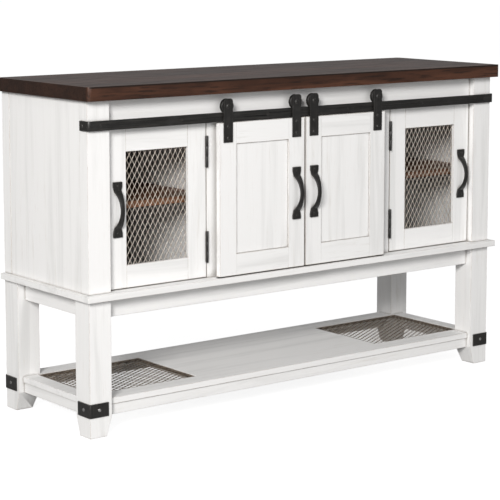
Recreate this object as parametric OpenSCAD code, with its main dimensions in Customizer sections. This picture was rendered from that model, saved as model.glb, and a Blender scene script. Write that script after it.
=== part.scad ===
// Farmhouse sideboard: plank top on a white cabinet, two sliding barn doors on a flat rail, two
// hinged doors with expanded-metal panels, and an open base whose lower shelf has metal insets.
// X runs along the cabinet, the doors face -Y, +Z is up, and Z = 0 is the floor.

/* [Overall] */
// Length of the top along X
top_w = 1524; // [1400:1:1650]
// Depth of the top from front edge to back edge
top_d = 470; // [450:1:520]
// Height from the floor to the top surface
total_h = 953; // [930:1:1000]
// Thickness of the top
top_t = 38; // [30:1:45]
// How far the top passes the cabinet at each end
top_side = 14; // [8:1:20]
// How far the top passes the cabinet at the front
top_front = 28; // [24:1:32]

/* [Base] */
// Width and depth of a leg
leg = 70; // [60:1:75]
// Width and depth of a leg's tip on the floor
foot = 53; // [45:1:58]
// Height where the leg starts to taper
taper_h = 58; // [50:1:58]
// Underside of the waist molding above the floor
waist_z = 378; // [365:1:390]
// Thickness of the waist molding and the cabinet floor
waist_t = 18; // [15:1:20]
// How far the waist molding passes the legs at the front
waist_out = 20; // [12:1:22]
// Width of the boards that make the waist molding
waist_w = 36; // [30:1:39]
// Height of the aprons under the molding
apron_h = 54; // [45:1:60]
// How far the aprons sit back from the leg faces
apron_in = 24; // [15:1:30]
// Top of the lower shelf above the floor
low_z = 103; // [98:1:110]
// Thickness of the lower shelf board
low_t = 17; // [15:1:20]
// How far the lower shelf sits back from the leg faces
low_in = 13; // [8:1:20]
// Height of the rails under the lower shelf
low_rail_h = 30; // [25:1:35]

/* [Cabinet] */
// Depth of a corner post, front to back
post_d = 39; // [30:1:45]
// How far the hinged doors and the frame sit back from the corner posts
recess = 20; // [18:1:22]
// Thickness of the frame members, panels and hinged doors
board = 18; // [16:1:19]
// Width of the stiles between the bays
stile_w = 57; // [50:1:60]
// Height of the inner shelves above the floor
shelf_z = 630; // [560:1:680]

/* [Mesh doors] */
// Width of a hinged door
mesh_door_w = 329; // [310:1:335]
// Width of its stiles and rails
mesh_stile = 62; // [50:1:70]
// Pitch of the diamonds across the short way
mesh_short = 17; // [15:1:24]
// Pitch of the diamonds along the long way
mesh_long = 29; // [25:1:40]
// Width of a metal strand
strand = 2.6; // [2:0.2:4]

/* [Barn doors] */
// Width of a sliding door
barn_w = 304; // [295:1:310]
// Thickness of a sliding door
barn_t = 16.5; // [15:0.5:17]
// Width of its stiles
barn_stile = 58; // [50:1:65]
// Height of its rails
barn_rail_h = 60; // [50:1:65]
// Gap between the two sliding doors when closed
meet_gap = 6.5; // [4:0.5:8]
// Where the two sliding doors meet, from the cabinet's middle
meet_x = -15; // [-18:1:10]

/* [Rail hardware] */
// Height of the flat rail
rail_h = 26.5; // [24:0.5:28]
// Thickness of the flat rail
rail_t = 5; // [4:0.5:5]
// Top edge of the rail above the floor
rail_top = 861.5; // [858:0.5:864]
// Gap between the rail and the corner posts
rail_off = 6; // [5:0.5:7]
// Outer radius of the rail's bends
rail_bend = 10; // [8:1:11]
// Width of a hanger strap
strap_w = 31; // [26:1:34]
// Thickness of a hanger strap
strap_t = 3; // [2.5:0.5:3]
// Outer radius of a hanger wheel
wheel_r = 21; // [20:0.5:22]
// Radius at the bottom of the wheel's groove
groove_r = 16.5; // [15:0.5:17]

/* [Handles] */
// Length of a bow handle
handle_h = 151; // [130:1:170]
// How far a handle stands off its door
handle_out = 29.5; // [25:0.5:32]
// Width of a handle's feet
handle_w = 29; // [24:1:30]
// Width of a handle at its middle
handle_waist = 12; // [10:1:16]

/* [Hidden] */
$fn = 48;

// colours
white = [0.90, 0.89, 0.86];
walnut = [0.27, 0.16, 0.12];
shelf_brown = [0.42, 0.27, 0.18];
dark_board = [0.22, 0.17, 0.14];
iron = [0.12, 0.12, 0.12];
pewter = [0.62, 0.58, 0.54];

// a hairline between pieces of one frame, and the gap between moving neighbours
joint = 0.2;
clear = 0.3;

// how far a cutting shape passes the faces that it cuts
over = 1;

// screws and studs of the ironwork, and their holes
screw_r = 2.15;
screw_hole_r = 2.2;
screw_head_r = 5;
screw_crown_r = 3;
stud_r = 3;
stud_hole_r = 3.05;

// iron angle plates near the feet
bracket_t = 3;
bracket_head = 2;
bracket_l = 58;
bracket_z0 = 60;
bracket_z1 = 98;
bracket_bend = 4;
bracket_screw_in = 28;
bracket_screw_up = 1;

// cabinet box: half length, back plane, front plane of the legs and posts. The whole depth
// runs from the sliding doors' handles to the screw heads on the back, with y = 0 half way.
half = top_w / 2 - top_side;
barn_face = -14.5;
handle_face = barn_face - handle_out;
back_proud = bracket_t + bracket_head;
whole_d = top_d - top_front - handle_face + back_proud;
back_y = whole_d / 2 - back_proud;
front_y = back_y - (top_d - top_front);
glide_t = 3;
glide_r = 14;
top_corner = 12;
top_z = total_h - top_t;
floor_z = waist_z + waist_t;
rail_bot = rail_top - rail_h;
fascia_z = rail_bot + 1;

// bays, measured from the middle of the cabinet
bay_out = half - leg;
door_gap = 3;
mesh_out = bay_out - door_gap;
mesh_in = mesh_out - mesh_door_w;
stile_out = mesh_in - door_gap;
stile_in = stile_out - stile_w;
divider_in = 20;
divider_x = stile_in + divider_in;
panel_in = 1;
back_t = 6;
back_in = 4;
inner_front = front_y + recess + board;
inner_back = back_y - back_in - back_t;

// shelf pins and the inner faces of the side panels
shelf_pin_r = 2.45;
shelf_hole_r = 2.5;
shelf_pin_z = shelf_z - board - shelf_pin_r - clear;
shelf_pin_end = 60;
shelf_pin_ys = [inner_front + shelf_pin_end, inner_back - shelf_pin_end];
shelf_pin_in = 7.5;
shelf_pin_out = 8;
shelf_pin_gap = 0.5;
shelf_play = 1.5;
shelf_front_gap = 6;
shelf_back_gap = 2;
side_in = -half + panel_in + board;

// hinged doors
knuckle_r = 3.8;
mesh_set = 9;
rabbet = 5;
mesh_gap_z = 2.5;
mesh_z0 = floor_z + mesh_gap_z;
mesh_z1 = rail_bot - mesh_gap_z;
mesh_y = front_y + recess;
hinge_x = mesh_in - door_gap / 2;
hinge_y = mesh_y - knuckle_r - clear;
knuckle_bore = 2.05;
pin_r = 2;
hinge_h = 85;
hinge_zs = [484, 752];
leaf_t = 1.2;
leaf_d = 14;
leaf_play = 0.1;
leaf_in = 1;
pin_over = 2;

// magnet catches behind the free edges of the hinged doors
catch_z = 540;
catch_h = 40;
catch_w = 34;
catch_lap = 14;
catch_t = 12;

// sliding doors
barn_foot_gap = 4;
barn_head_gap = 3;
barn_z0 = floor_z + barn_foot_gap;
barn_z1 = rail_bot - barn_head_gap;
barn_y = front_y + barn_face;
left_barn_x = meet_x - meet_gap / 2 - barn_w;
right_barn_x = meet_x + meet_gap / 2;
guide_in = 8;
guide_r = 2.5;
slot_r = 3;
slot_depth = 8;
slot_y = barn_y + barn_t / 2;
panel_t = 8;
panel_back = 5;
strap_shift = -1;
strap_xs = [barn_stile / 2 + strap_shift, barn_w - barn_stile / 2 + strap_shift];
handle_z = 615;
mesh_handle_shift = 2;

// rail, straps and wheels
rail_y1 = front_y - rail_off;
rail_y0 = rail_y1 - rail_t;
rail_mid = (rail_y0 + rail_y1) / 2;
rail_return = 30;
return_screw_in = 12;
return_screw_y = front_y + rail_return - return_screw_in;
return_head = 1.6;
strap_z0 = 777;
strap_z1 = 899.5;
strap_round = 9;
wheel_y0 = barn_y + clear;
wheel_t = 2 * (rail_mid - wheel_y0);
groove_play = 0.7;
groove_w = rail_t + 2 * groove_play;
axle_z = rail_top + groove_r + clear;
axle_r = 4;
axle_bore = 4.05;
bolt_zs = [789, 822];
bolt_deep = barn_t - 5;
bolt_hole_deep = bolt_deep + 1;
rail_mid_z = rail_top - rail_h / 2;
spacer_r = 6;
rail_post_x = half - leg / 2;
spacer_pitch = 300;
fixing_xs = [-rail_post_x, for (i = [-1.5 : 1.5]) i * spacer_pitch, rail_post_x];

// lower shelf
low_bot = low_z - low_t;
low_rail_in = low_in + 4;
window_end = 59;
window_w = 347;
window_front = 75;
window_d = 292;
window_x1 = half - window_end;
window_x0 = window_x1 - window_w;
window_y0 = front_y + window_front;
low_mesh_drop = 3;
low_mesh_z = low_z - low_mesh_drop;
ledge_t = 5;
mesh_t = 2;

// ---------------------------------------------------------------- shared shapes

// A box between two corners.
module box(a, b) {
    translate(a)
        cube(b - a);
}

// The same piece on the other side of the cabinet.
module both_sides() {
    children();
    mirror([1, 0, 0])
        children();
}

// Picks the left side as drawn or the right side as its mirror image.
module side(is_right) {
    mirror([is_right ? 1 : 0, 0, 0])
        children();
}

// A flat outline with round corners, made of squares and circles.
module round_rect(w, d, r) {
    translate([r, 0])
        square([w - 2 * r, d]);
    translate([0, r])
        square([w, d - 2 * r]);
    for (x = [r, w - r], y = [r, d - r])
        translate([x, y])
            circle(r);
}

// A sheet of expanded metal: a plain border round rows of diamond holes.
module diamond_sheet(w, h, border) {
    slant = norm([mesh_short, mesh_long]);
    hole_x = mesh_short - strand * slant / mesh_long;
    hole_y = mesh_long - strand * slant / mesh_short;
    cols = ceil(w / mesh_short / 2) + 1;
    rows = ceil(h / mesh_long / 2) + 1;
    difference() {
        square([w, h]);
        intersection() {
            translate([border, border])
                square([w - 2 * border, h - 2 * border]);
            translate([w / 2, h / 2])
                for (i = [-cols : cols], j = [-rows : rows], k = [0, 0.5])
                    translate([(i + k) * mesh_short, (j + k) * mesh_long])
                        polygon([[-hole_x / 2, 0], [0, -hole_y / 2], [hole_x / 2, 0], [0, hole_y / 2]]);
        }
    }
}

// Bow handle with wide flat feet, centred on x = 0, z = 0, its feet on y = 0 and its bow towards -Y.
module bow_handle() {
    foot_h = 24;
    foot_lap = 4;
    bar_t = 4.5;
    pinch_end = 12;
    half_h = handle_h / 2;
    half_bow = half_h - foot_h + foot_lap;
    rise = handle_out;
    bow_r = (half_bow * half_bow + rise * rise) / (2 * rise);
    pinch = (handle_w - handle_waist) / 2;
    pinch_half = half_h - pinch_end;
    pinch_r = (pinch_half * pinch_half + pinch * pinch) / (2 * pinch);
    intersection() {
        // side view: two foot plates and the bow between them
        rotate([90, 0, 90])
            translate([0, 0, -handle_w / 2])
                linear_extrude(handle_w) {
                    for (s = [-1, 1])
                        translate([-bar_t, s * (half_h - foot_h / 2) - foot_h / 2])
                            square([bar_t, foot_h]);
                    intersection() {
                        translate([bow_r - rise, 0])
                            difference() {
                                circle(bow_r, $fn = 96);
                                circle(bow_r - bar_t, $fn = 96);
                            }
                        translate([-rise - over, -half_h])
                            square([rise + over, handle_h]);
                    }
                }
        // front view: the strap narrows towards the middle
        rotate([90, 0, 0])
            linear_extrude(2 * (handle_out + over), center = true)
                difference() {
                    translate([-handle_w / 2, -half_h])
                        square([handle_w, handle_h]);
                    for (s = [-1, 1])
                        translate([s * (handle_waist / 2 + pinch_r), 0])
                            circle(pinch_r, $fn = 96);
                }
    }
}

// ---------------------------------------------------------------- top and cabinet

module top_panel() {
    color(walnut)
        translate([-top_w / 2, back_y - top_d, top_z])
            linear_extrude(top_t)
                round_rect(top_w, top_d, top_corner);
}

// A square leg whose two inner faces slope in near the floor. Drawn for the front left corner.
module leg_shape() {
    profile = [
        [0, glide_t], [foot, glide_t], [leg, taper_h], [leg, waist_z], [0, waist_z]
    ];
    intersection() {
        rotate([90, 0, 0])
            mirror([0, 0, 1])
                linear_extrude(leg)
                    polygon(profile);
        rotate([90, 0, 90])
            linear_extrude(leg)
                polygon(profile);
    }
}

module placed_leg(is_right, is_back) {
    color(white)
        side(is_right)
            translate([-half, is_back ? back_y : front_y, 0])
                mirror([0, is_back ? 1 : 0, 0])
                    leg_shape();
}

module front_left_leg() { placed_leg(false, false); }
module front_right_leg() { placed_leg(true, false); }
module back_left_leg() { placed_leg(false, true); }
module back_right_leg() { placed_leg(true, true); }

module front_posts() {
    color(white)
        both_sides()
            box([-half, front_y, floor_z], [-half + leg, front_y + post_d, top_z]);
}

module back_posts() {
    color(white)
        both_sides()
            box([-half, back_y - post_d, floor_z], [-half + leg, back_y, top_z]);
}

// Holes for the shelf pins, along X.
module pin_holes(x0, x1) {
    for (y = shelf_pin_ys)
        translate([x0, y, shelf_pin_z])
            rotate([0, 90, 0])
                cylinder(r = shelf_hole_r, h = x1 - x0);
}

module side_panel_shape() {
    color(white)
        difference() {
            box([-half + panel_in, front_y + post_d, floor_z], [side_in, back_y - post_d, top_z]);
            pin_holes(side_in - shelf_pin_in, side_in + over);
        }
}

module left_side_panel() { side_panel_shape(); }
module right_side_panel() { side(true) side_panel_shape(); }

module back_panel() {
    color(dark_board)
        box([-half + leg, inner_back, floor_z], [half - leg, inner_back + back_t, top_z]);
}

// The two walls between the bays, with pin holes on both faces.
module dividers() {
    color(white)
        both_sides()
            difference() {
                box([-divider_x - board, inner_front, floor_z], [-divider_x, inner_back, top_z]);
                pin_holes(-divider_x - shelf_pin_in, -divider_x + over);
                pin_holes(-divider_x - board - over, -divider_x - board + shelf_pin_in);
            }
}

module cabinet_floor() {
    edge = top_w / 2 - waist_w;
    color(white)
        box([-edge + joint, front_y + waist_w - waist_out + joint, waist_z],
            [edge - joint, back_y, floor_z]);
}

// Flat boards round the waist: one across the front, whose ends show, and one behind it on each side.
module waist_molding() {
    out = top_w / 2;
    inner_y = front_y - waist_out + waist_w;
    color(white) {
        box([-out, front_y - waist_out, waist_z], [out, inner_y, floor_z]);
        both_sides()
            box([-out, inner_y + joint, waist_z], [-out + waist_w, back_y, floor_z]);
    }
}

module fascia_rail() {
    color(white)
        box([-bay_out, mesh_y, fascia_z], [bay_out, mesh_y + board, top_z]);
}

// Stiles between the bays, recessed for the cabinet's hinge leaves.
module centre_stiles() {
    color(white)
        both_sides()
            difference() {
                box([-stile_out, mesh_y, floor_z], [-stile_in, mesh_y + board, fascia_z - joint]);
                for (z = hinge_zs)
                    box([-stile_out - over, mesh_y - over, z - hinge_h / 2 - leaf_play],
                        [-stile_out + leaf_t, mesh_y + leaf_d, z + hinge_h / 2 + leaf_play]);
            }
}

// Battens that tie the walls together and carry the screws for the top.
module top_cleats() {
    cleat = 22;
    bays = [[-bay_out, -divider_x - board], [-divider_x, divider_x], [divider_x + board, bay_out]];
    color(white)
        for (bay = bays, y = [inner_front, inner_back - cleat])
            box([bay[0] + joint, y + joint, top_z - cleat],
                [bay[1] - joint, y + cleat - joint, top_z]);
}

// ---------------------------------------------------------------- inner shelves

// A loose board between the walls x0 and x1.
module inner_shelf(x0, x1) {
    box([x0 + shelf_play, inner_front + shelf_front_gap, shelf_z - board],
        [x1 - shelf_play, inner_back - shelf_back_gap, shelf_z]);
}

// The side shelves are notched round the back posts.
module left_inner_shelf() {
    color(shelf_brown)
        difference() {
            inner_shelf(side_in, -divider_x - board);
            box([-half, back_y - post_d - shelf_play, shelf_z - board - over],
                [-bay_out + shelf_play, back_y, shelf_z + over]);
        }
}

module centre_inner_shelf() {
    color(shelf_brown)
        inner_shelf(-divider_x, divider_x);
}

module right_inner_shelf() { side(true) left_inner_shelf(); }

module shelf_pins() {
    color(iron)
        both_sides()
            for (y = shelf_pin_ys) {
                shelf_pin(side_in, 1, y);
                shelf_pin(-divider_x - board, -1, y);
                shelf_pin(-divider_x, 1, y);
            }
}

// A pin in the wall at x, standing out along dir.
module shelf_pin(x, dir, y) {
    sunk = shelf_pin_in - shelf_pin_gap;
    translate([x - dir * sunk, y, shelf_pin_z])
        rotate([0, dir * 90, 0])
            cylinder(r = shelf_pin_r, h = sunk + shelf_pin_out);
}

// ---------------------------------------------------------------- base

module front_apron() {
    color(white)
        box([-half + leg, front_y + apron_in, waist_z - apron_h],
            [half - leg, front_y + apron_in + board, waist_z]);
}

module back_apron() {
    color(white)
        box([-half + leg, back_y - apron_in - board, waist_z - apron_h],
            [half - leg, back_y - apron_in, waist_z]);
}

module side_aprons() {
    color(white)
        both_sides()
            box([-half + apron_in, front_y + leg, waist_z - apron_h],
                [-half + apron_in + board, back_y - leg, waist_z]);
}

module lower_front_rail() {
    color(white)
        box([-half + leg, front_y + low_rail_in, low_bot - low_rail_h],
            [half - leg, front_y + low_rail_in + board, low_bot]);
}

module lower_back_rail() {
    color(white)
        box([-half + leg, back_y - low_rail_in - board, low_bot - low_rail_h],
            [half - leg, back_y - low_rail_in, low_bot]);
}

module lower_side_rails() {
    color(white)
        both_sides()
            box([-half + low_rail_in, front_y + leg, low_bot - low_rail_h],
                [-half + low_rail_in + board, back_y - leg, low_bot]);
}

// The shelf board, notched round the legs, with a window near each end.
module lower_shelf_board() {
    color(white)
        translate([0, 0, low_bot])
            linear_extrude(low_t)
                difference() {
                    translate([-half + low_in, front_y + low_in])
                        square([2 * (half - low_in), back_y - front_y - 2 * low_in]);
                    for (x = [-half, half - leg], y = [front_y, back_y - leg])
                        translate([x, y])
                            square([leg, leg]);
                    both_sides()
                        translate([-window_x1, window_y0])
                            square([window_w, window_d]);
                }
}

// The insets lie with their diamonds lengthwise along X.
module lower_shelf_meshes() {
    play = 0.5;
    rim = 4;
    color(pewter)
        both_sides()
            translate([-window_x0 - play, window_y0 + play, low_mesh_z])
                rotate([0, 0, 90])
                    linear_extrude(mesh_t)
                        diamond_sheet(window_d - 2 * play, window_w - 2 * play, rim);
}

// Ledges screwed inside each window, which the metal sheets rest on.
module mesh_cleats() {
    ledge = 8;
    color(iron)
        both_sides()
            translate([0, 0, low_mesh_z - ledge_t])
                linear_extrude(ledge_t)
                    difference() {
                        translate([-window_x1, window_y0])
                            square([window_w, window_d]);
                        translate([-window_x1 + ledge, window_y0 + ledge])
                            square([window_w - 2 * ledge, window_d - 2 * ledge]);
                    }
}

// Places a child on all four outer corners; the child is drawn for the front left one.
module each_corner() {
    both_sides() {
        translate([-half, front_y, 0])
            children();
        translate([-half, back_y, 0])
            mirror([0, 1, 0])
                children();
    }
}

// Iron angle plates wrapped round the outer corner of each leg.
module corner_brackets() {
    color(iron)
        each_corner()
            difference() {
                translate([0, 0, bracket_z0])
                    linear_extrude(bracket_z1 - bracket_z0)
                        difference() {
                            union() {
                                translate([bracket_bend - bracket_t, -bracket_t])
                                    square([bracket_l - bracket_bend + bracket_t, bracket_t]);
                                translate([-bracket_t, bracket_bend - bracket_t])
                                    square([bracket_t, bracket_l - bracket_bend + bracket_t]);
                                translate([bracket_bend - bracket_t, bracket_bend - bracket_t])
                                    circle(bracket_bend);
                            }
                            square([bracket_l + over, bracket_l + over]);
                        }
                bracket_screw_place()
                    cylinder(r = screw_hole_r, h = 2 * (bracket_t + over), center = true);
            }
}

// The two screw places of one bracket, with z along the screw and the head towards +z.
module bracket_screw_place() {
    mid_z = (bracket_z0 + bracket_z1) / 2 + bracket_screw_up;
    translate([bracket_screw_in, 0, mid_z])
        rotate([90, 0, 0])
            children();
    translate([0, bracket_screw_in, mid_z])
        rotate([0, -90, 0])
            children();
}

module bracket_screws() {
    color(iron)
        each_corner()
            bracket_screw_place() {
                translate([0, 0, bracket_t])
                    cylinder(r1 = screw_head_r, r2 = screw_crown_r, h = bracket_head);
                cylinder(r = screw_r, h = bracket_t);
            }
}

module foot_glides() {
    color(dark_board)
        each_corner()
            translate([foot / 2, foot / 2, 0])
                cylinder(r = glide_r, h = glide_t);
}

// ---------------------------------------------------------------- rail

// Flat bar across the front, bent back along both ends of the cabinet.
module barn_rail() {
    out = half + rail_t;
    c = rail_bend;
    color(iron)
        difference() {
            translate([0, 0, rail_bot])
                linear_extrude(rail_h) {
                    translate([-out + c, rail_y0])
                        square([2 * (out - c), rail_t]);
                    both_sides() {
                        translate([-out, rail_y0 + c])
                            square([rail_t, front_y + rail_return - rail_y0 - c]);
                        intersection() {
                            translate([-out + c, rail_y0 + c])
                                difference() {
                                    circle(c);
                                    circle(c - rail_t);
                                }
                            translate([-out, rail_y0])
                                square([c, c]);
                        }
                    }
                }
            both_sides()
                translate([-out - over, return_screw_y, rail_mid_z])
                    rotate([0, 90, 0])
                        cylinder(r = screw_hole_r, h = rail_t + 2 * over);
            for (x = fixing_xs)
                translate([x, rail_y0 - over, rail_mid_z])
                    rotate([-90, 0, 0])
                        cylinder(r = stud_hole_r, h = rail_t + 2 * over);
        }
}

// Spacers behind the rail with studs through it, and a screw at the tip of each return.
module rail_fixings() {
    color(iron) {
        for (x = fixing_xs)
            translate([x, 0, rail_mid_z])
                rotate([-90, 0, 0]) {
                    deep = abs(x) == rail_post_x ? front_y : mesh_y;
                    translate([0, 0, rail_y1])
                        cylinder(r = spacer_r, h = deep - rail_y1);
                    translate([0, 0, rail_y0])
                        cylinder(r = stud_r, h = rail_t);
                }
        both_sides()
            translate([-half, return_screw_y, rail_mid_z])
                rotate([0, -90, 0]) {
                    cylinder(r = screw_r, h = rail_t);
                    translate([0, 0, rail_t])
                        cylinder(r1 = screw_head_r, r2 = screw_crown_r, h = return_head);
                }
    }
}

// Base plates on the molding with pins that run in the slots under the sliding doors.
module door_guide_pins() {
    plate = [24, 10, 1.5];
    pin_short = 2;
    color(iron)
        for (x = [left_barn_x + guide_in, right_barn_x + barn_w - guide_in])
            translate([x, slot_y, floor_z]) {
                translate([-plate.x / 2, -plate.y / 2, 0])
                    cube(plate);
                cylinder(r = guide_r, h = barn_z0 - floor_z + slot_depth - pin_short);
            }
}

// Magnet blocks on the backs of the front posts, which the free edges of the hinged doors meet.
module door_catches() {
    catch_x = -bay_out + catch_lap;
    color(iron)
        both_sides()
            box([catch_x - catch_w, front_y + post_d, catch_z - catch_h / 2],
                [catch_x, front_y + post_d + catch_t, catch_z + catch_h / 2]);
}

// ---------------------------------------------------------------- sliding doors

// Stiles and rails with a slot for the guide pin along the bottom. Drawn from x = 0.
module barn_frame_shape() {
    rail_len = barn_w - 2 * barn_stile;
    color(white)
        difference() {
            union() {
                for (x = [0, barn_w - barn_stile])
                    box([x, barn_y, barn_z0], [x + barn_stile, barn_y + barn_t, barn_z1]);
                for (z = [barn_z0, barn_z1 - barn_rail_h])
                    box([barn_stile + joint, barn_y, z],
                        [barn_stile + rail_len - joint, barn_y + barn_t, z + barn_rail_h]);
            }
            translate([0, 0, barn_z0 - over])
                linear_extrude(slot_depth + over) {
                    translate([guide_in, slot_y - slot_r])
                        square([barn_w - 2 * guide_in, 2 * slot_r]);
                    for (x = [guide_in, barn_w - guide_in])
                        translate([x, slot_y])
                            circle(slot_r);
                }
            for (x = strap_xs, z = bolt_zs)
                translate([x, barn_y - over, z])
                    rotate([-90, 0, 0])
                        cylinder(r = stud_hole_r, h = bolt_hole_deep + over);
        }
}

module barn_panel_shape() {
    color(white)
        box([barn_stile + joint, barn_y + panel_back, barn_z0 + barn_rail_h + joint],
            [barn_w - barn_stile - joint, barn_y + panel_back + panel_t, barn_z1 - barn_rail_h - joint]);
}

module hanger_straps_shape() {
    color(iron)
        for (x = strap_xs)
            difference() {
                translate([x - strap_w / 2, barn_y, strap_z0])
                    rotate([90, 0, 0])
                        linear_extrude(strap_t) {
                            square([strap_w, strap_z1 - strap_z0 - strap_round]);
                            translate([strap_round, 0])
                                square([strap_w - 2 * strap_round, strap_z1 - strap_z0]);
                            for (c = [strap_round, strap_w - strap_round])
                                translate([c, strap_z1 - strap_z0 - strap_round])
                                    circle(strap_round);
                        }
                for (z = bolt_zs)
                    translate([x, barn_y + over, z])
                        rotate([90, 0, 0])
                            cylinder(r = stud_hole_r, h = strap_t + 2 * over);
                translate([x, barn_y + over, axle_z])
                    rotate([90, 0, 0])
                        cylinder(r = axle_bore, h = strap_t + 2 * over);
            }
}

// Axle bolts for the wheels and the two bolts of each strap, heads to the front.
module hanger_bolts_shape() {
    head_t = 2.2;
    bolt_crown_r = 3.6;
    bolt_head_r = 5.4;
    axle_crown_r = 5;
    axle_head_r = 7;
    nut_t = 3;
    nut_at = head_t + strap_t + wheel_t + 2 * clear;
    color(iron)
        for (x = strap_xs) {
            for (z = bolt_zs)
                translate([x, barn_y - strap_t - head_t, z])
                    rotate([-90, 0, 0]) {
                        cylinder(r1 = bolt_crown_r, r2 = bolt_head_r, h = head_t);
                        cylinder(r = stud_r, h = head_t + strap_t + bolt_deep);
                    }
            translate([x, barn_y - strap_t - head_t, axle_z])
                rotate([-90, 0, 0]) {
                    cylinder(r1 = axle_crown_r, r2 = axle_head_r, h = head_t);
                    cylinder(r = axle_r, h = nut_at + nut_t);
                    translate([0, 0, nut_at])
                        cylinder(r = axle_head_r, h = nut_t);
                }
        }
}

// A grooved wheel on the y axis, centred on its own middle.
module hanger_wheel(x) {
    rim = 1;
    draft_out = 0.3;
    draft_in = 0.2;
    half_t = wheel_t / 2;
    half_g = groove_w / 2;
    upper = [
        [groove_r, half_g - draft_in], [wheel_r, half_g + draft_out], [wheel_r, half_t - rim],
        [wheel_r - rim, half_t], [axle_bore, half_t]
    ];
    lower = [for (i = [len(upper) - 1 : -1 : 0]) [upper[i].x, -upper[i].y]];
    color(iron)
        translate([x, rail_mid, axle_z])
            rotate([90, 0, 0])
                rotate_extrude($fn = 64)
                    polygon(concat(lower, upper));
}

module barn_handle(x) {
    color(iron)
        translate([x, barn_y, handle_z])
            bow_handle();
}

module left_barn_door_frame() { translate([left_barn_x, 0, 0]) barn_frame_shape(); }
module left_barn_door_panel() { translate([left_barn_x, 0, 0]) barn_panel_shape(); }
module left_barn_door_handle() { barn_handle(left_barn_x + strap_xs[1]); }
module left_hanger_straps() { translate([left_barn_x, 0, 0]) hanger_straps_shape(); }
module left_hanger_bolts() { translate([left_barn_x, 0, 0]) hanger_bolts_shape(); }
module left_outer_wheel() { hanger_wheel(left_barn_x + strap_xs[0]); }
module left_inner_wheel() { hanger_wheel(left_barn_x + strap_xs[1]); }
module right_barn_door_frame() { translate([right_barn_x, 0, 0]) barn_frame_shape(); }
module right_barn_door_panel() { translate([right_barn_x, 0, 0]) barn_panel_shape(); }
module right_barn_door_handle() { barn_handle(right_barn_x + barn_stile / 2); }
module right_hanger_straps() { translate([right_barn_x, 0, 0]) hanger_straps_shape(); }
module right_hanger_bolts() { translate([right_barn_x, 0, 0]) hanger_bolts_shape(); }
module right_inner_wheel() { hanger_wheel(right_barn_x + strap_xs[0]); }
module right_outer_wheel() { hanger_wheel(right_barn_x + strap_xs[1]); }

// ---------------------------------------------------------------- hinged doors

// Stiles and rails of the left hinged door, with a rabbet for the metal sheet at the back.
module mesh_frame_shape() {
    x0 = -mesh_out;
    x1 = -mesh_in;
    color(white)
        difference() {
            union() {
                for (x = [x0, x1 - mesh_stile])
                    box([x, mesh_y, mesh_z0], [x + mesh_stile, mesh_y + board, mesh_z1]);
                for (z = [mesh_z0, mesh_z1 - mesh_stile])
                    box([x0 + mesh_stile + joint, mesh_y, z],
                        [x1 - mesh_stile - joint, mesh_y + board, z + mesh_stile]);
            }
            box([x0 + mesh_stile - rabbet, mesh_y + mesh_set, mesh_z0 + mesh_stile - rabbet],
                [x1 - mesh_stile + rabbet, mesh_y + board + over, mesh_z1 - mesh_stile + rabbet]);
            for (z = hinge_zs)
                box([x1 - leaf_t, mesh_y - over, z - hinge_h / 2 - leaf_play],
                    [x1 + over, mesh_y + leaf_d, z + hinge_h / 2 + leaf_play]);
        }
}

module door_mesh_shape() {
    play = 0.5;
    w = mesh_door_w - 2 * mesh_stile + 2 * (rabbet - play);
    h = mesh_z1 - mesh_z0 - 2 * mesh_stile + 2 * (rabbet - play);
    color(pewter)
        translate([-mesh_out + mesh_stile - rabbet + play, mesh_y + mesh_set + mesh_t,
                   mesh_z0 + mesh_stile - rabbet + play])
            rotate([90, 0, 0])
                linear_extrude(mesh_t)
                    diamond_sheet(w, h, rabbet);
}

module mesh_handle_shape() {
    color(iron)
        translate([-mesh_out + mesh_stile / 2 + mesh_handle_shift, mesh_y, handle_z])
            bow_handle();
}

// Three knuckles on the door's leaf: two ends here, the middle one belongs to the cabinet's leaf.
module hinge_leaf(on_door) {
    third = hinge_h / 3;
    leaf_x = on_door ? -door_gap / 2 - leaf_t : door_gap / 2;
    reach = mesh_y - hinge_y;
    for (z = hinge_zs)
        translate([-hinge_x, hinge_y, z - hinge_h / 2])
            difference() {
                union() {
                    for (k = on_door ? [0, 2] : [1]) {
                        knuckle_z = k * third + (k > 0 ? clear / 2 : 0);
                        knuckle_h = third - (k == 1 ? clear : clear / 2);
                        translate([0, 0, knuckle_z])
                            cylinder(r = knuckle_r, h = knuckle_h);
                        translate([leaf_x, 0, knuckle_z])
                            cube([leaf_t, reach + leaf_d, knuckle_h]);
                    }
                    translate([leaf_x, reach + leaf_in, 0])
                        cube([leaf_t, leaf_d - leaf_in, hinge_h]);
                }
                translate([0, 0, -over])
                    cylinder(r = on_door ? knuckle_bore : pin_r, h = hinge_h + 2 * over);
            }
}

module door_hinge_shape() {
    color(iron)
        hinge_leaf(true);
}

// The cabinet's leaves of all four hinges, with their pins.
module cabinet_hinge_leaves() {
    color(iron)
        both_sides() {
            hinge_leaf(false);
            for (z = hinge_zs)
                translate([-hinge_x, hinge_y, z - hinge_h / 2 - pin_over]) {
                    cylinder(r = pin_r, h = hinge_h + 2 * pin_over);
                    for (cap_z = [0, hinge_h + pin_over + clear])
                        translate([0, 0, cap_z])
                            cylinder(r = knuckle_r, h = pin_over - clear);
                }
        }
}

module left_mesh_door_frame() { mesh_frame_shape(); }
module left_door_mesh() { door_mesh_shape(); }
module left_mesh_door_handle() { mesh_handle_shape(); }
module left_door_hinge_leaves() { door_hinge_shape(); }
module right_mesh_door_frame() { side(true) mesh_frame_shape(); }
module right_door_mesh() { side(true) door_mesh_shape(); }
module right_mesh_door_handle() { side(true) mesh_handle_shape(); }
module right_door_hinge_leaves() { side(true) door_hinge_shape(); }

// ---------------------------------------------------------------- nodes

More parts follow.
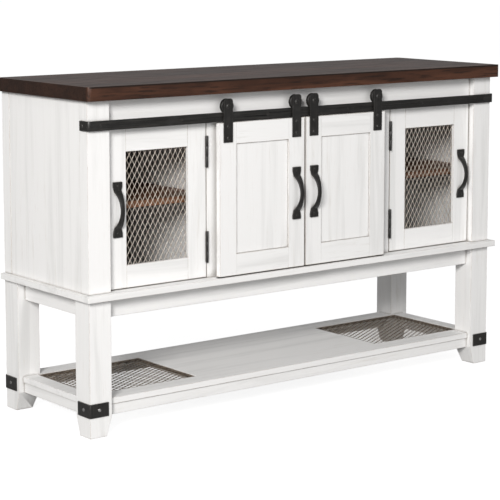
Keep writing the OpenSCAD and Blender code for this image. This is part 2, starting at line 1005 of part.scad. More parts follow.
top_panel();
front_left_leg();
front_right_leg();
back_left_leg();
back_right_leg();
front_posts();
back_posts();
left_side_panel();
right_side_panel();
back_panel();
dividers();
cabinet_floor();
waist_molding();
fascia_rail();
centre_stiles();
top_cleats();
left_inner_shelf();
centre_inner_shelf();
right_inner_shelf();
shelf_pins();
front_apron();
back_apron();
side_aprons();
lower_front_rail();
lower_back_rail();
lower_side_rails();
lower_shelf_board();
lower_shelf_meshes();
mesh_cleats();
corner_brackets();
bracket_screws();
foot_glides();
barn_rail();
rail_fixings();
door_guide_pins();
door_catches();
left_barn_door_frame();
left_barn_door_panel();
left_barn_door_handle();
left_hanger_straps();
left_hanger_bolts();
left_outer_wheel();
left_inner_wheel();
right_barn_door_frame();
right_barn_door_panel();
right_barn_door_handle();
right_hanger_straps();
right_hanger_bolts();
right_inner_wheel();
right_outer_wheel();
left_mesh_door_frame();
left_door_mesh();
left_mesh_door_handle();
left_door_hinge_leaves();
right_mesh_door_frame();
right_door_mesh();
right_mesh_door_handle();
right_door_hinge_leaves();
cabinet_hinge_leaves();
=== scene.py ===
import math

import bmesh
import bpy
from mathutils import Euler, Matrix, Vector


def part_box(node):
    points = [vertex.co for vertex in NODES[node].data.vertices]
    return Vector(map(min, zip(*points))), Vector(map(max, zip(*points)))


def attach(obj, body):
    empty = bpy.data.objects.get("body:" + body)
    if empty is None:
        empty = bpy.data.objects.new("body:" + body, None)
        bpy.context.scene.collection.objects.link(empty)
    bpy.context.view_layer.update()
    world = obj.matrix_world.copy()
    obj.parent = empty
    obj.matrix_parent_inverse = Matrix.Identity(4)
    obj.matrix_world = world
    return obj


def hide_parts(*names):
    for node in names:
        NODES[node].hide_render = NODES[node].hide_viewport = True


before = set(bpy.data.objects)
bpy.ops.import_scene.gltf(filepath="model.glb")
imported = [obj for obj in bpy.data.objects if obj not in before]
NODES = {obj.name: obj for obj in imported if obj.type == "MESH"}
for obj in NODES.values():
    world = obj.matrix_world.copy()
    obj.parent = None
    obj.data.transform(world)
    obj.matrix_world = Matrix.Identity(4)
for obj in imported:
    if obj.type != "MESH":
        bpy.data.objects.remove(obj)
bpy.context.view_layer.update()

MM = 0.001
# Vertices nearer than this count as one.
SAME_POINT = 0.02 * MM
scene = bpy.context.scene


# ------------------------------------------------------------------ camera

# Where the camera stands, in metres, and where it looks, in degrees.
CAMERA_AT = Vector((-3.2618, -4.1318, 1.3079))
CAMERA_HEADING = 37.87
CAMERA_DOWN = 7.216
CAMERA_LENS = 127.92
# A small downward shift keeps upright edges nearly upright in the picture.
CAMERA_SHIFT = -0.15


def make_camera():
    data = bpy.data.cameras.new("camera")
    data.sensor_width = 36.0
    data.lens = CAMERA_LENS
    data.shift_y = CAMERA_SHIFT
    data.clip_start = 0.05
    data.clip_end = 60.0
    camera = bpy.data.objects.new("camera", data)
    camera.location = CAMERA_AT
    tilt = math.radians(90 - CAMERA_DOWN)
    camera.rotation_euler = Euler((tilt, 0, -math.radians(CAMERA_HEADING)), "XYZ")
    scene.collection.objects.link(camera)
    scene.camera = camera


# ------------------------------------------------------------------ node helpers

# Places of the sockets on Blender's Mix node, which has a set of them for each kind of data.
MIX_FACTOR = 0
MIX_COLOURS = (6, 7)
MIX_COLOUR_OUT = 2
MIX_VECTORS = (4, 5)
MIX_VECTOR_OUT = 1

# Cosine between the rounded and the flat normal, where an edge's mark starts and is full: wear on
# the wood, a painted highlight on the iron.
EDGE_STARTS = 0.995
EDGE_FULL = 0.80
# Openness of a corner, 1 on an open face, where its painted shade starts and is full.
CORNER_SHADE_STARTS = 0.72
CORNER_SHADE_FULL = 0.38


class Graph:
    """A short way to write one material's nodes."""

    def __init__(self, name):
        self.material = bpy.data.materials.new(name)
        self.material.use_nodes = True
        self.tree = self.material.node_tree
        self.tree.nodes.clear()
        output = self.add("ShaderNodeOutputMaterial")
        self.shader = self.add("ShaderNodeBsdfPrincipled")
        self.link(self.shader, output.inputs["Surface"])

    def add(self, kind, **settings):
        node = self.tree.nodes.new(kind)
        for key, value in settings.items():
            setattr(node, key, value)
        return node

    def link(self, source, target):
        socket = source if isinstance(source, bpy.types.NodeSocket) else source.outputs[0]
        self.tree.links.new(socket, target)

    def put(self, value, target):
        """Links a node or socket, or sets a plain value."""
        if isinstance(value, (bpy.types.Node, bpy.types.NodeSocket)):
            self.link(value, target)
        else:
            target.default_value = value

    def where(self):
        return self.add("ShaderNodeTexCoord").outputs["Object"]

    def scaled(self, vector, scale, offset=(0, 0, 0)):
        node = self.add("ShaderNodeMapping")
        self.link(vector, node.inputs["Vector"])
        node.inputs["Scale"].default_value = scale
        node.inputs["Location"].default_value = offset
        return node.outputs["Vector"]

    def noise(self, vector, scale, detail=4.0, roughness=0.55, distortion=0.0):
        node = self.add("ShaderNodeTexNoise")
        self.link(vector, node.inputs["Vector"])
        node.inputs["Scale"].default_value = scale
        node.inputs["Detail"].default_value = detail
        node.inputs["Roughness"].default_value = roughness
        node.inputs["Distortion"].default_value = distortion
        return node.outputs["Fac"]

    def math(self, operation, a, b=0.0):
        node = self.add("ShaderNodeMath", operation=operation)
        self.put(a, node.inputs[0])
        self.put(b, node.inputs[1])
        return node.outputs[0]

    def ramp(self, value, low, high, out_low=0.0, out_high=1.0):
        node = self.add("ShaderNodeMapRange", interpolation_type="SMOOTHSTEP")
        self.put(value, node.inputs["Value"])
        node.inputs["From Min"].default_value = low
        node.inputs["From Max"].default_value = high
        node.inputs["To Min"].default_value = out_low
        node.inputs["To Max"].default_value = out_high
        return node.outputs["Result"]

    def mix(self, factor, a, b):
        node = self.add("ShaderNodeMix", data_type="RGBA")
        self.put(factor, node.inputs[MIX_FACTOR])
        for socket, colour in zip(MIX_COLOURS, (a, b)):
            self.put(rgba(colour), node.inputs[socket])
        return node.outputs[MIX_COLOUR_OUT]

    def mix_vector(self, factor, a, b):
        node = self.add("ShaderNodeMix", data_type="VECTOR")
        self.put(factor, node.inputs[MIX_FACTOR])
        for socket, vector in zip(MIX_VECTORS, (a, b)):
            self.link(vector, node.inputs[socket])
        return node.outputs[MIX_VECTOR_OUT]

    def edges(self, radius):
        """1 on sharp outer and inner edges, 0 on flat faces."""
        bevel = self.add("ShaderNodeBevel", samples=4)
        bevel.inputs["Radius"].default_value = radius
        flat = self.add("ShaderNodeNewGeometry").outputs["Normal"]
        dot = self.add("ShaderNodeVectorMath", operation="DOT_PRODUCT")
        self.link(bevel, dot.inputs[0])
        self.link(flat, dot.inputs[1])
        return self.ramp(dot.outputs["Value"], EDGE_STARTS, EDGE_FULL)

    def corner_shade(self, reach):
        """1 in the narrow corners where pieces meet, 0 on open faces: the mask of the painted shade
        in corners.
        """
        occlusion = self.add("ShaderNodeAmbientOcclusion", samples=6)
        occlusion.inputs["Distance"].default_value = reach
        return self.ramp(occlusion.outputs["AO"], CORNER_SHADE_STARTS, CORNER_SHADE_FULL)

    def bump(self, height, strength, distance):
        node = self.add("ShaderNodeBump")
        node.inputs["Strength"].default_value = strength
        node.inputs["Distance"].default_value = distance
        self.link(height, node.inputs["Height"])
        self.link(node.outputs["Normal"], self.shader.inputs["Normal"])

    def finish(self, colour, roughness, metallic=0.0):
        self.put(rgba(colour), self.shader.inputs["Base Color"])
        self.put(roughness, self.shader.inputs["Roughness"])
        self.shader.inputs["Metallic"].default_value = metallic
        return self.material


def rgba(colour):
    return (*colour, 1.0) if isinstance(colour, tuple) and len(colour) == 3 else colour


# ------------------------------------------------------------------ materials

# Grain runs along one axis: the noise is stretched by a low scale along it and a high one across.
ALONG = 2.6
ACROSS = 46.0


def grain_scale(axis):
    return tuple(ALONG if i == "xyz".index(axis) else ACROSS for i in range(3))


PAINT = (0.86, 0.855, 0.85)
PAINT_GREY = (0.60, 0.60, 0.59)
PAINT_WARM = (0.645, 0.62, 0.58)
BARE_EDGE = (0.40, 0.315, 0.235)
# Colour of the painted shade in the corners.
CORNER_SHADE = (0.16, 0.13, 0.10)

# How much of each layer shows over the paint, from 0 to 1.
GREY_AMOUNT = 0.40
STREAK_AMOUNT = 0.50
SCRATCH_AMOUNT = 0.13
WEAR_AMOUNT = 0.85
CORNER_SHADE_AMOUNT = 0.62

PAINT_WEAR = 2.8 * MM
# How far the painted shade reaches out of a corner, on most pieces and on the stiles behind the
# doors.
CORNER_SHADE_REACH = 14 * MM
STILE_SHADE_REACH = 26 * MM
# How a piece's seed moves its grain along X, Y and Z.
SEED_SHIFT = (1.0, 1.7, 0.6)


def painted_wood(name, axis, rails=None, seed=0.0, corners=CORNER_SHADE_REACH):
    """Thin white paint whose grain shows, with painted shade in its corners. rails is (x0, x1):
    between them the grain runs along X; corners is how far the painted shade reaches.
    """
    g = Graph(name)
    where = g.where()
    shift = tuple(seed * k for k in SEED_SHIFT)
    stretched = g.scaled(where, grain_scale(axis), shift)
    if rails:
        position = g.add("ShaderNodeSeparateXYZ")
        g.link(where, position.inputs[0])
        x = position.outputs["X"]
        inside = g.math("MULTIPLY", g.math("GREATER_THAN", x, rails[0]),
                        g.math("LESS_THAN", x, rails[1]))
        stretched = g.mix_vector(inside, stretched, g.scaled(where, grain_scale("x"), shift))
    broad = g.noise(stretched, 0.48, 4.0, 0.6, 0.6)
    fine = g.noise(stretched, 1.9, 6.0, 0.68, 0.5)
    hairs = g.noise(stretched, 7.0, 3.0, 0.6, 0.4)
    cloudy = g.noise(where, 5.0, 4.0)
    patches = g.ramp(cloudy, 0.42, 0.62)
    colour = g.mix(g.ramp(broad, 0.46, 0.72, 0.0, GREY_AMOUNT), PAINT, PAINT_GREY)
    streaks = g.math("MULTIPLY", g.ramp(fine, 0.53, 0.72), g.ramp(patches, 0.0, 1.0, 0.25, 0.85))
    colour = g.mix(g.math("MULTIPLY", streaks, STREAK_AMOUNT), colour, PAINT_WARM)
    scratched = g.math("MULTIPLY", g.ramp(hairs, 0.60, 0.70), patches)
    colour = g.mix(g.math("MULTIPLY", scratched, SCRATCH_AMOUNT), colour, BARE_EDGE)
    worn = g.math("MULTIPLY", g.edges(PAINT_WEAR), g.ramp(g.noise(where, 17.0), 0.30, 0.56))
    colour = g.mix(g.math("MULTIPLY", worn, WEAR_AMOUNT), colour, BARE_EDGE)
    # Painted shade: the corners where pieces meet are darkened.
    colour = g.mix(g.math("MULTIPLY", g.corner_shade(corners), CORNER_SHADE_AMOUNT), colour, CORNER_SHADE)
    g.bump(fine, 0.16, 0.4 * MM)
    return g.finish(colour, g.ramp(fine, 0.3, 0.8, 0.48, 0.68))


WALNUT = (0.050, 0.0215, 0.0130)
WALNUT_RED = (0.105, 0.044, 0.0255)
WALNUT_DARK = (0.015, 0.0080, 0.0056)
WALNUT_WORN = (0.13, 0.068, 0.045)
PLANKS = 4
# Scales of the grain along X, Y and Z, and how far each plank's grain is moved along X.
SLAB_GRAIN = (1.6, 26.0, 26.0)
PLANK_SHIFT = 3.7
# A joint's dark line fades out at the first share of a plank's width, and is full at the second.
JOINT_FADES = 0.022
JOINT_FULL = 0.004
# The line is drawn on the top only, down to this depth.
JOINT_DEPTH = 4 * MM
# Between these parts of the normal that point along X, the ends turn dark: partly end grain taking
# more stain, partly painted shade.
END_STARTS = 0.80
END_FULL = 0.97
END_STAIN_AND_SHADE = 0.72


def walnut(name):
    """Dark stained planks along X, with narrow dark joints and a tone for each plank."""
    g = Graph(name)
    where = g.where()
    lo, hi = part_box("top_panel")
    plank = (hi.y - lo.y) / PLANKS
    position = g.add("ShaderNodeSeparateXYZ")
    g.link(where, position.inputs[0])
    across = g.math("DIVIDE", g.math("SUBTRACT", position.outputs["Y"], lo.y), plank)
    index = g.math("FLOOR", across)
    tone = g.add("ShaderNodeTexWhiteNoise", noise_dimensions="1D")
    g.link(index, tone.inputs["W"])
    from_joint = g.math("PINGPONG", across, 0.5)
    joint = g.math("MULTIPLY", g.ramp(from_joint, JOINT_FADES, JOINT_FULL),
                   g.math("GREATER_THAN", position.outputs["Z"], hi.z - JOINT_DEPTH))
    offset = g.add("ShaderNodeCombineXYZ")
    g.link(g.math("MULTIPLY", index, PLANK_SHIFT), offset.inputs[0])
    moved = g.add("ShaderNodeVectorMath", operation="ADD")
    g.link(where, moved.inputs[0])
    g.link(offset, moved.inputs[1])
    stretched = g.scaled(moved.outputs[0], SLAB_GRAIN)
    figure = g.noise(stretched, 1.2, 5.0, 0.6, 0.6)
    fine = g.noise(stretched, 7.0, 5.0, 0.65)
    patch = g.noise(g.scaled(where, (5.0, 9.0, 9.0)), 1.0, 2.0)
    colour = g.mix(g.ramp(figure, 0.42, 0.66), WALNUT, WALNUT_RED)
    colour = g.mix(g.ramp(patch, 0.48, 0.70, 0.0, 0.55), colour, WALNUT_RED)
    colour = g.mix(g.ramp(fine, 0.50, 0.66, 0.0, 0.85), colour, WALNUT_DARK)
    colour = g.mix(g.math("MULTIPLY", tone.outputs["Value"], 0.35), colour, WALNUT_DARK)
    colour = g.mix(joint, colour, WALNUT_DARK)
    # The ends along X are darker: end grain's stain, and painted shade.
    facing = g.add("ShaderNodeSeparateXYZ")
    g.link(g.add("ShaderNodeTexCoord").outputs["Normal"], facing.inputs[0])
    along_x = g.math("ABSOLUTE", facing.outputs["X"])
    end_stain_and_shade = g.ramp(along_x, END_STARTS, END_FULL, 0.0, END_STAIN_AND_SHADE)
    colour = g.mix(end_stain_and_shade, colour, WALNUT_DARK)
    worn = g.math("MULTIPLY", g.edges(1.5 * MM), g.ramp(g.noise(where, 20.0), 0.40, 0.65))
    colour = g.mix(g.math("MULTIPLY", worn, 0.6), colour, WALNUT_WORN)
    g.bump(g.math("SUBTRACT", fine, g.math("MULTIPLY", joint, 2.0)), 0.25, 0.5 * MM)
    g.shader.inputs["Specular IOR Level"].default_value = 0.16
    g.shader.inputs["Coat Weight"].default_value = 0.22
    g.shader.inputs["Coat Roughness"].default_value = 0.20
    return g.finish(colour, g.ramp(fine, 0.35, 0.75, 0.40, 0.58))


# Main and dark colour of the inner shelves, and of the back board.
SHELF_BROWN = (0.19, 0.085, 0.042), (0.10, 0.042, 0.022)
BACK_BROWN = (0.040, 0.029, 0.023), (0.024, 0.017, 0.013)


def brown_wood(name, colours, axis):
    g = Graph(name)
    colour, dark = colours
    where = g.where()
    stretched = g.scaled(where, grain_scale(axis))
    fine = g.noise(stretched, 2.4, 5.0, 0.6, 0.4)
    broad = g.noise(stretched, 0.5, 3.0)
    shade = g.mix(g.ramp(broad, 0.40, 0.70), colour, dark)
    shade = g.mix(g.ramp(fine, 0.52, 0.75, 0.0, 0.7), shade, dark)
    g.bump(fine, 0.25, 0.4 * MM)
    return g.finish(shade, g.ramp(fine, 0.3, 0.8, 0.45, 0.65))


IRON = (0.0100, 0.0094, 0.0088)
IRON_STREAK = (0.032, 0.029, 0.026)
IRON_BLOTCH = (0.020, 0.019, 0.018)
# Colour of the painted highlight on the iron's edges.
IRON_EDGE_HIGHLIGHT = (0.15, 0.143, 0.135)
# Scales of the brushed streaks along the piece and across it.
BRUSHED_ALONG = 8.0
BRUSHED_ACROSS = 420.0


def black_iron(name, axis):
    """Powder-coated iron: faint brushed streaks, fine grit, and slightly lighter edges that are a
    painted highlight.
    """
    g = Graph(name)
    where = g.where()
    brushed = tuple(BRUSHED_ALONG if a == axis else BRUSHED_ACROSS for a in "xyz")
    streak = g.noise(g.scaled(where, brushed), 1.0, 3.0)
    grit = g.noise(where, 900.0, 3.0)
    blotch = g.noise(where, 38.0, 3.0)
    colour = g.mix(g.ramp(streak, 0.48, 0.75), IRON, IRON_STREAK)
    colour = g.mix(g.ramp(blotch, 0.50, 0.72, 0.0, 0.6), colour, IRON_BLOTCH)
    # Painted highlight: the iron's edges are lighter.
    colour = g.mix(g.math("MULTIPLY", g.edges(1.1 * MM), 0.7), colour, IRON_EDGE_HIGHLIGHT)
    g.bump(g.math("ADD", grit, blotch), 0.30, 0.25 * MM)
    g.shader.inputs["Specular IOR Level"].default_value = 0.50
    return g.finish(colour, g.ramp(blotch, 0.3, 0.7, 0.34, 0.50))


# Light and dark colour of the expanded metal, and how metallic it is. Both are one metal: the doors'
# copy is made lighter as painted light, the insets' copy darker as painted shade.
DOOR_METAL_LIT = (0.60, 0.54, 0.47), (0.36, 0.31, 0.26), 0.55
INSET_METAL_SHADED = (0.21, 0.16, 0.115), (0.10, 0.075, 0.055), 0.25


def pewter(name, look):
    g = Graph(name)
    light, dark, metallic = look
    where = g.where()
    blotch = g.noise(where, 70.0, 3.0)
    grit = g.noise(where, 700.0, 3.0)
    colour = g.mix(g.ramp(blotch, 0.35, 0.68), light, dark)
    g.bump(grit, 0.25, 0.2 * MM)
    return g.finish(colour, g.ramp(grit, 0.3, 0.7, 0.36, 0.50), metallic)


def plastic(name):
    g = Graph(name)
    grit = g.noise(g.where(), 500.0, 2.0)
    g.bump(grit, 0.15, 0.1 * MM)
    return g.finish(g.mix(grit, (0.05, 0.045, 0.04), (0.07, 0.065, 0.06)), 0.6)


def worn_steel(name):
    """Screw heads whose black coat is rubbed to bright metal in blotches."""
    g = Graph(name)
    where = g.where()
    blotch = g.noise(where, 260.0, 3.0)
    g.bump(g.noise(where, 900.0, 2.0), 0.2, 0.1 * MM)
    colour = g.mix(g.ramp(blotch, 0.40, 0.62), (0.62, 0.61, 0.60), (0.16, 0.16, 0.16))
    return g.finish(colour, g.ramp(blotch, 0.3, 0.7, 0.22, 0.42), metallic=0.9)


# ------------------------------------------------------------------ dressing the CAD nodes

# Edges that turn by more than this are rounded.
SHARP_TURN = math.radians(40)


def dress(node, material, soften=0.0, segments=2):
    """Gives a CAD node its material, and rounds its edges a little."""
    obj = NODES[node]
    obj.data.materials.clear()
    obj.data.materials.append(material)
    if soften:
        weld = obj.modifiers.new("weld", "WELD")
        weld.merge_threshold = SAME_POINT
        bevel = obj.modifiers.new("bevel", "BEVEL")
        bevel.width = soften
        bevel.segments = segments
        bevel.limit_method = "ANGLE"
        bevel.angle_limit = SHARP_TURN
        bevel.harden_normals = True


def inner_span(node, stile):
    """The x range between the two stiles of a door frame."""
    lo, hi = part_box(node)
    return lo.x + stile, hi.x - stile


# How far the edges of each kind of piece are rounded.
WOOD_EDGE = 1.2 * MM
DOOR_EDGE = 0.7 * MM
SLAB_EDGE = 3.2 * MM
SHELF_EDGE = 0.8 * MM
GLIDE_EDGE = 0.8 * MM
RAIL_EDGE = 0.7 * MM
IRON_EDGE = 0.5 * MM
HANDLE_EDGE = 0.8 * MM
FITTING_EDGE = 0.3 * MM

# Widths of the doors' stiles, between which the grain of the rails runs along X.
BARN_STILE = 58 * MM
MESH_STILE = 62 * MM


def dress_wood():
    upright = ["front_left_leg", "front_right_leg", "back_left_leg", "back_right_leg",
               "front_posts", "back_posts", "left_side_panel", "right_side_panel",
               "dividers", "left_barn_door_panel", "right_barn_door_panel"]
    along_x = ["fascia_rail", "front_apron", "back_apron", "lower_front_rail", "lower_back_rail",
               "lower_shelf_board", "cabinet_floor", "waist_molding", "top_cleats"]
    along_y = ["side_aprons", "lower_side_rails"]
    for seed, node in enumerate(upright):
        dress(node, painted_wood("paint_" + node, "z", seed=seed * 0.37), WOOD_EDGE)
    # The stiles get a wider painted shade, where the barn doors stand in front of them.
    dress("centre_stiles", painted_wood("paint_centre_stiles", "z", seed=2.9, corners=STILE_SHADE_REACH),
          WOOD_EDGE)
    for seed, node in enumerate(along_x):
        dress(node, painted_wood("paint_" + node, "x", seed=seed * 0.53), WOOD_EDGE)
    for seed, node in enumerate(along_y):
        dress(node, painted_wood("paint_" + node, "y", seed=seed * 0.71), WOOD_EDGE)
    for side in ("left", "right"):
        for kind, stile in (("barn", BARN_STILE), ("mesh", MESH_STILE)):
            node = f"{side}_{kind}_door_frame"
            span = inner_span(node, stile)
            dress(node, painted_wood("paint_" + node, "z", rails=span, seed=len(node)), DOOR_EDGE)
    dress("top_panel", walnut("walnut_top"), SLAB_EDGE, segments=4)
    shelf = brown_wood("brown_shelf", SHELF_BROWN, "x")
    for node in ("left_inner_shelf", "centre_inner_shelf", "right_inner_shelf"):
        dress(node, shelf, SHELF_EDGE)
    dress("back_panel", brown_wood("dark_board", BACK_BROWN, "z"))


def dress_fittings():
    dress("foot_glides", plastic("glide_plastic"), GLIDE_EDGE)
    iron_x = black_iron("iron_along_x", "x")
    iron_z = black_iron("iron_along_z", "z")
    dress("barn_rail", iron_x, RAIL_EDGE)
    for node in ("corner_brackets", "rail_fixings", "door_guide_pins", "door_catches",
                 "shelf_pins", "mesh_cleats", "cabinet_hinge_leaves",
                 "left_door_hinge_leaves", "right_door_hinge_leaves"):
        dress(node, iron_z, FITTING_EDGE)
    for side in ("left", "right"):
        dress(f"{side}_hanger_straps", iron_z, IRON_EDGE)
        dress(f"{side}_barn_door_handle", iron_z, HANDLE_EDGE)
        dress(f"{side}_mesh_door_handle", iron_z, HANDLE_EDGE)
        for place in ("outer", "inner"):
            dress(f"{side}_{place}_wheel", iron_z, IRON_EDGE)


# ------------------------------------------------------------------ expanded metal

# Width, thickness and tilt of a strand: the doors' metal is twisted more than the insets'.
DOOR_STRAND = (1.6 * MM, 0.9 * MM, math.radians(22))
SHELF_STRAND = (2.6 * MM, 0.9 * MM, math.radians(8))
MESH_SHORT = 17 * MM
MESH_LONG = 29 * MM
STEPS_PER_DIAMOND = 10
# The weave is this much too high and is cut off level, which leaves the flats at the bonds.
WEAVE_CUT = 1.22
# Width and half the thickness of the flat rim round a sheet.
RIM_WIDTH = 4 * MM
RIM_HALF = 0.6 * MM
# The doors' sheets lie this far behind the middle of their places.
DOOR_SHEET_BACK = 0.25 * MM


def weave_offset(phase):
    """-1 to 1 along one diamond, with a flat at each bond."""
    wave = 4 * abs(phase - math.floor(phase + 0.5)) - 1
    return max(-1.0, min(1.0, wave * WEAVE_CUT))


def expanded_sheet(name, width, height, strand):
    """Expanded metal in the local XY plane, from 0 to width and height, middle at z = 0.
    Each strand weaves along Y and meets the next one at the bonds; every strand is tilted."""
    strand_w, strand_t, tilt = strand
    bm = bmesh.new()
    pitch = MESH_SHORT / 2
    swing = (pitch - strand_w) / 2
    strands = int(width / pitch) + 1
    steps = int(height / MESH_LONG * STEPS_PER_DIAMOND)
    first_x = (width - (strands - 1) * pitch) / 2
    for s in range(strands):
        rings = []
        sign = 1 if s % 2 else -1
        for k in range(steps + 1):
            y = height * k / steps
            x = first_x + s * pitch + sign * swing * weave_offset((y - height / 2) / MESH_LONG)
            x = max(strand_w / 2, min(width - strand_w / 2, x))
            ring = []
            for across, up in ((-1, -1), (1, -1), (1, 1), (-1, 1)):
                u = across * strand_w / 2
                v = up * strand_t / 2
                px = x + u * math.cos(tilt) - v * math.sin(tilt)
                pz = u * math.sin(tilt) + v * math.cos(tilt)
                ring.append(bm.verts.new((px, y, pz)))
            rings.append(ring)
        for low, high in zip(rings, rings[1:]):
            for i in range(4):
                j = (i + 1) % 4
                bm.faces.new((low[i], low[j], high[j], high[i]))
        bm.faces.new(reversed(rings[0]))
        bm.faces.new(rings[-1])
    bmesh.ops.recalc_face_normals(bm, faces=bm.faces)
    mesh = bpy.data.meshes.new(name)
    bm.to_mesh(mesh)
    bm.free()
    return mesh


def edge_frame(bm, width, height):
    """A flat rim round the sheet, which the frame or the ledge holds."""
    for a0, b0, a1, b1 in ((0, 0, width, RIM_WIDTH), (0, height - RIM_WIDTH, width, height),
                           (0, RIM_WIDTH, RIM_WIDTH, height - RIM_WIDTH),
                           (width - RIM_WIDTH, RIM_WIDTH, width, height - RIM_WIDTH)):
        corners = [bm.verts.new((x, y, z)) for z in (-RIM_HALF, RIM_HALF)
                   for x, y in ((a0, b0), (a1, b0), (a1, b1), (a0, b1))]
        for face in ((3, 2, 1, 0), (4, 5, 6, 7), (0, 1, 5, 4),
                     (1, 2, 6, 5), (2, 3, 7, 6), (3, 0, 4, 7)):
            bm.faces.new([corners[i] for i in face])


def sheet_piece(name, width, height, place, strand):
    mesh = expanded_sheet(name, width, height, strand)
    bm = bmesh.new()
    bm.from_mesh(mesh)
    edge_frame(bm, width, height)
    bm.to_mesh(mesh)
    bm.free()
    piece = bpy.data.objects.new(name, mesh)
    scene.collection.objects.link(piece)
    mesh.transform(place)
    return piece


def door_meshes(material):
    stand = Matrix.Rotation(math.radians(90), 4, "X")
    for side in ("left", "right"):
        node = f"{side}_door_mesh"
        lo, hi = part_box(node)
        middle_y = (lo.y + hi.y) / 2 + DOOR_SHEET_BACK
        place = Matrix.Translation((lo.x, middle_y, lo.z)) @ stand
        piece = sheet_piece(f"{side}_expanded_metal", hi.x - lo.x, hi.z - lo.z, place,
                            DOOR_STRAND)
        piece.data.materials.append(material)
        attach(piece, f"{side}_mesh_door")
        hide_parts(node)


def shelf_meshes(material):
    lo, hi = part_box("lower_shelf_meshes")
    sheet_w = window_width()
    turn = Matrix.Rotation(math.radians(90), 4, "Z")
    parts = []
    for start in (lo.x, hi.x - sheet_w):
        # turned so that the diamonds lie lengthwise along X
        place = Matrix.Translation((start + sheet_w, lo.y, (lo.z + hi.z) / 2)) @ turn
        parts.append(sheet_piece("shelf_sheet", hi.y - lo.y, sheet_w, place, SHELF_STRAND))
    first, second = parts
    bm = bmesh.new()
    bm.from_mesh(first.data)
    bm.from_mesh(second.data)
    bm.to_mesh(first.data)
    bm.free()
    bpy.data.objects.remove(second)
    first.name = "shelf_expanded_metal"
    first.data.materials.append(material)
    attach(first, "cabinet")
    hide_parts("lower_shelf_meshes")


def window_width():
    """Width of one metal inset, read from the CAD sheet on the left."""
    xs = sorted(v.co.x for v in NODES["lower_shelf_meshes"].data.vertices if v.co.x < 0)
    return xs[-1] - xs[0]


# ------------------------------------------------------------------ fasteners

# Radius and height of each kind of head.
BRACKET_HEAD = 4.6 * MM, 2.0 * MM
AXLE_HEAD = 6.6 * MM, 2.4 * MM
STRAP_HEAD = 5.2 * MM, 2.4 * MM
HANDLE_HEAD = 3.6 * MM, 1.4 * MM
# The share of a head's height that its straight rim takes, and its numbers of rings and sides.
HEAD_RIM = 0.18
HEAD_RINGS = 7
HEAD_SIDES = 32
# Bolts wider than this are the wheels' axles. A head's base lies this far behind a bolt's front.
AXLE_OVER = 12 * MM
BOLT_BASE = 2.1 * MM
# Thickness of a handle's foot, how far its heads sink in, and their distance from its ends.
HANDLE_FOOT = 4.5 * MM
HANDLE_SINK = 0.1 * MM
HANDLE_SCREW_IN = 11 * MM
FRONT = Vector((0, -1, 0))


def islands(node):
    """Lowest and highest corner of each separate solid in a CAD node."""
    mesh = NODES[node].data
    bm = bmesh.new()
    bm.from_mesh(mesh)
    bmesh.ops.remove_doubles(bm, verts=bm.verts, dist=SAME_POINT)
    seen, found = set(), []
    for start in bm.verts:
        if start in seen:
            continue
        stack, group = [start], []
        seen.add(start)
        while stack:
            v = stack.pop()
            group.append(v.co.copy())
            for e in v.link_edges:
                other = e.other_vert(v)
                if other not in seen:
                    seen.add(other)
                    stack.append(other)
        found.append((Vector(map(min, *group)), Vector(map(max, *group))))
    bm.free()
    return found


def domed_head(bm, centre, out, radius, height):
    """A round domed head on a plane at centre, standing out along out."""
    turn = Vector((0, 0, 1)).rotation_difference(out).to_matrix().to_4x4()
    place = Matrix.Translation(centre) @ turn
    profile = [(radius, 0.0), (radius, height * HEAD_RIM)]
    for i in range(1, HEAD_RINGS):
        a = math.pi / 2 * i / HEAD_RINGS
        profile.append((radius * math.cos(a), height * (HEAD_RIM + (1 - HEAD_RIM) * math.sin(a))))
    turns = [2 * math.pi * k / HEAD_SIDES for k in range(HEAD_SIDES)]
    loops = []
    for r, z in profile:
        loops.append([bm.verts.new(place @ Vector((r * math.cos(t), r * math.sin(t), z)))
                      for t in turns])
    for low, high in zip(loops, loops[1:]):
        for k in range(HEAD_SIDES):
            j = (k + 1) % HEAD_SIDES
            bm.faces.new((low[k], low[j], high[j], high[k]))
    bm.faces.new(loops[-1])
    bm.faces.new(reversed(loops[0]))


def heads_piece(name, heads, body, material, replaced=()):
    bm = bmesh.new()
    for centre, out, radius, height in heads:
        domed_head(bm, centre, out, radius, height)
    bmesh.ops.recalc_face_normals(bm, faces=bm.faces)
    mesh = bpy.data.meshes.new(name)
    bm.to_mesh(mesh)
    bm.free()
    for face in mesh.polygons:
        face.use_smooth = True
    mesh.set_sharp_from_angle(angle=math.radians(38))
    piece = bpy.data.objects.new(name, mesh)
    scene.collection.objects.link(piece)
    piece.data.materials.append(material)
    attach(piece, body)
    if replaced:
        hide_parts(*replaced)


def bracket_heads(material):
    """Domed screws on the corner plates, in the place of the plain CAD ones."""
    radius, height = BRACKET_HEAD
    heads = []
    for lo, hi in islands("bracket_screws"):
        mid, size = (lo + hi) / 2, hi - lo
        if size.x < size.y:
            out = Vector((math.copysign(1, mid.x), 0, 0))
            face = Vector((hi.x if out.x > 0 else lo.x, mid.y, mid.z))
        else:
            out = Vector((0, math.copysign(1, mid.y), 0))
            face = Vector((mid.x, hi.y if out.y > 0 else lo.y, mid.z))
        heads.append((face - out * height, out, radius, height))
    heads_piece("bracket_screw_heads", heads, "cabinet", material, ["bracket_screws"])


def hanger_heads(material):
    """Rounded heads in front of each hanger bolt; the bolt shanks stay as they are in the CAD."""
    for side in ("left", "right"):
        heads = []
        for lo, hi in islands(f"{side}_hanger_bolts"):
            mid = (lo + hi) / 2
            head = AXLE_HEAD if hi.x - lo.x > AXLE_OVER else STRAP_HEAD
            heads.append((Vector((mid.x, lo.y + BOLT_BASE, mid.z)), FRONT, *head))
        heads_piece(f"{side}_hanger_bolt_heads", heads, f"{side}_barn_door", material)
        dress(f"{side}_hanger_bolts", material)


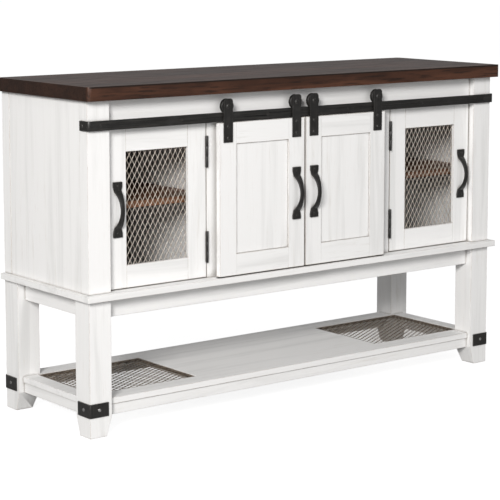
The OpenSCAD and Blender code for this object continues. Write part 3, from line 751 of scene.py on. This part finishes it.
def handle_heads(material):
    """One small screw in each foot of a bow handle."""
    for side in ("left", "right"):
        for kind in ("barn", "mesh"):
            lo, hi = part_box(f"{side}_{kind}_door_handle")
            x = (lo.x + hi.x) / 2
            y = hi.y - HANDLE_FOOT + HANDLE_SINK
            heads = [(Vector((x, y, z)), FRONT, *HANDLE_HEAD)
                     for z in (lo.z + HANDLE_SCREW_IN, hi.z - HANDLE_SCREW_IN)]
            heads_piece(f"{side}_{kind}_handle_screws", heads, f"{side}_{kind}_door", material)


# ------------------------------------------------------------------ floor and light

# The floor looks like a white sweep, but bounces less light than it shows.
FLOOR_SHOWN = 0.87
FLOOR_BOUNCE = 0.45


def make_floor():
    half_size = 70.0
    bm = bmesh.new()
    bmesh.ops.create_grid(bm, x_segments=1, y_segments=1, size=half_size)
    mesh = bpy.data.meshes.new("floor")
    bm.to_mesh(mesh)
    bm.free()
    floor = bpy.data.objects.new("floor", mesh)
    scene.collection.objects.link(floor)
    g = Graph("pale_floor")
    floor.data.materials.append(g.finish((FLOOR_BOUNCE,) * 3, 0.9))
    seen = g.add("ShaderNodeLightPath").outputs["Is Camera Ray"]
    g.shader.inputs["Specular IOR Level"].default_value = 0.0
    g.shader.inputs["Emission Color"].default_value = (1, 1, 1, 1)
    g.link(g.math("MULTIPLY", seen, FLOOR_SHOWN), g.shader.inputs["Emission Strength"])


def soft_light(name, place, size, power, colour=(1, 1, 1)):
    data = bpy.data.lights.new(name, "AREA")
    data.shape = "RECTANGLE"
    data.size, data.size_y = size
    data.energy = power
    data.color = colour
    light = bpy.data.objects.new(name, data)
    light.location = place
    light.rotation_euler = (Vector(LAMPS_AIM) - Vector(place)).to_track_quat("-Z", "Y").to_euler()
    scene.collection.objects.link(light)


# Lamp powers in watts; the key stands to the left of the front, well above the top.
KEY_AT = (-5.7, -4.8, 3.4)
KEY_SIZE = (1.9, 1.9)
KEY_POWER = 530
KEY_COLOUR = (1.0, 0.985, 0.965)
FILL_AT = (-0.6, -4.8, 2.2)
FILL_SIZE = (3.4, 2.6)
FILL_POWER = 46
LAMPS_AIM = (0, 0, 0.5)
# Strength of the even light from all round. The camera itself sees a white backdrop.
AMBIENT = 0.33


def make_light():
    soft_light("key", KEY_AT, KEY_SIZE, KEY_POWER, KEY_COLOUR)
    soft_light("front_fill", FILL_AT, FILL_SIZE, FILL_POWER)
    world = bpy.data.worlds.new("studio")
    world.use_nodes = True
    tree = world.node_tree
    ambient = tree.nodes["Background"]
    ambient.inputs["Color"].default_value = (1, 1, 1, 1)
    ambient.inputs["Strength"].default_value = AMBIENT
    backdrop = tree.nodes.new("ShaderNodeBackground")
    backdrop.inputs["Strength"].default_value = 1.0
    rays = tree.nodes.new("ShaderNodeLightPath")
    choose = tree.nodes.new("ShaderNodeMixShader")
    tree.links.new(rays.outputs["Is Camera Ray"], choose.inputs[0])
    tree.links.new(ambient.outputs[0], choose.inputs[1])
    tree.links.new(backdrop.outputs[0], choose.inputs[2])
    tree.links.new(choose.outputs[0], tree.nodes["World Output"].inputs["Surface"])
    scene.world = world
    scene.view_settings.view_transform = "Standard"


# ------------------------------------------------------------------ build

make_camera()
dress_wood()
dress_fittings()
iron_small = black_iron("iron_fasteners", "x")
# One metal, in a lighter copy for painted light on the doors and a darker copy for painted shade on
# the insets.
door_meshes(pewter("pewter_doors_lit", DOOR_METAL_LIT))
shelf_meshes(pewter("pewter_insets_shaded", INSET_METAL_SHADED))
bracket_heads(worn_steel("screw_steel"))
hanger_heads(iron_small)
handle_heads(iron_small)
make_floor()
make_light()
